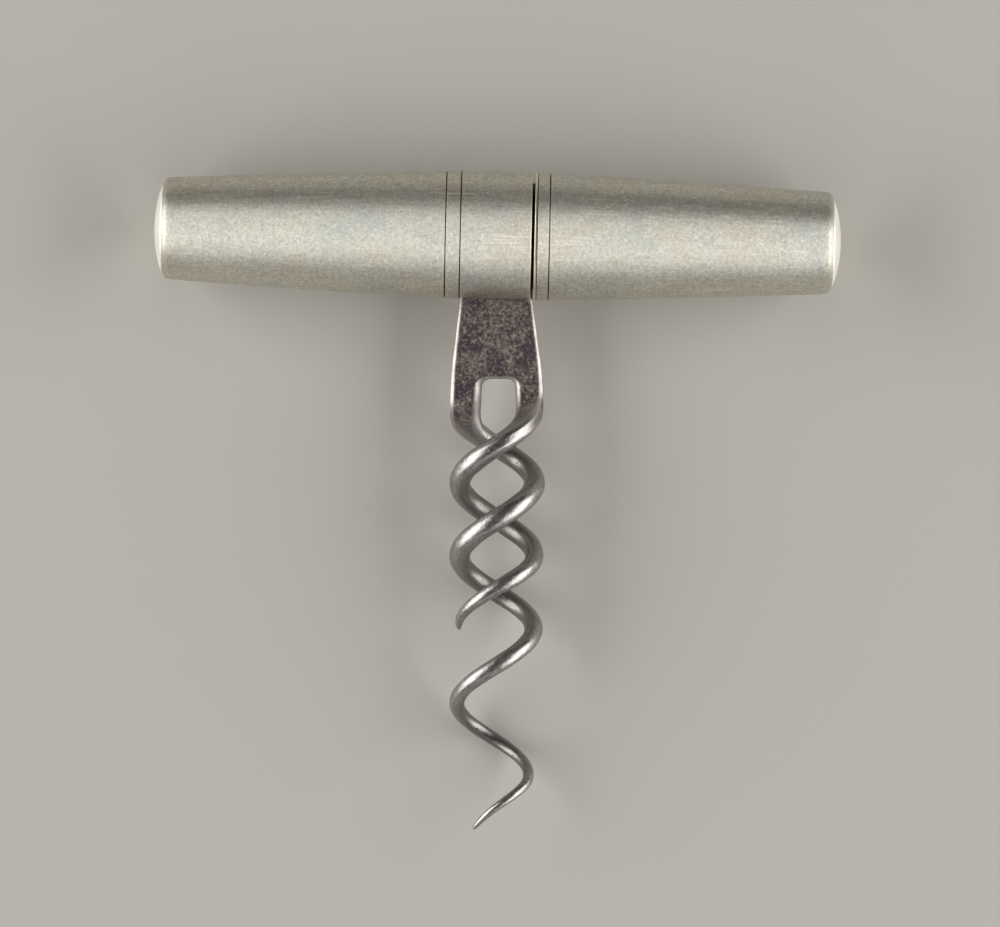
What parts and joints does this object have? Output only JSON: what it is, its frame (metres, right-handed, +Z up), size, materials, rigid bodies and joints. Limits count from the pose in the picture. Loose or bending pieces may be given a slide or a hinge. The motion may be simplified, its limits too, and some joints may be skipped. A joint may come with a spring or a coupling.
{
  "type": "folding pocket corkscrew",
  "caption": "Pocket corkscrew with a tapered two-part metal case as its handle and a forged double helix worm that folds on a cross pin once one half is unscrewed.",
  "frame": {"origin": "on the table, under the middle of the corkscrew's box as it lies on its side", "axes": "+X along the case towards the half that unscrews, -Y along the worm, +Z up from the table"},
  "size_m": [0.086, 0.0822, 0.016],
  "materials": {
    "nickel_case": "satin worn nickel plate",
    "polished_cap": "polished nickel plate",
    "forged_steel": "forged, dark patina"
  },
  "bodies": {
    "case": {"left_case_tube": "nickel_case", "left_end_cap": "polished_cap", "centre_collar": "nickel_case", "threaded_sleeve": "nickel_case"},
    "right_cap": {"right_end_cap": "polished_cap"},
    "right_half": {"right_case_tube": "nickel_case", "right_thread_bush": "nickel_case"},
    "worm": {"double_helix_worm": "forged_steel", "cross_pin": "forged_steel"}
  },
  "joints": [
    {"name": "case_draw_off", "type": "slide", "parent": "case", "child": "right_cap", "axis": [1, 0, 0], "range_m": [0, 0.09]},
    {"name": "case_turn", "type": "hinge", "parent": "right_cap", "child": "right_half", "pos_m": [0, 0.03312, 0.00802], "axis": [1, 0, 0], "continuous": true},
    {"name": "worm_fold", "type": "hinge", "parent": "case", "child": "worm", "pos_m": [-0.00023, 0.03312, 0.00802], "axis": [0, -0.0401, 0.9992], "range_deg": [0, 88.35]}
  ],
  "couplings": [
    {"joint": "case_turn", "follows": "case_draw_off", "rad_per_m": 6283.2},
    {"joint": "worm_fold", "follows": "case_draw_off", "rad_per_m": 17.133}
  ]
}
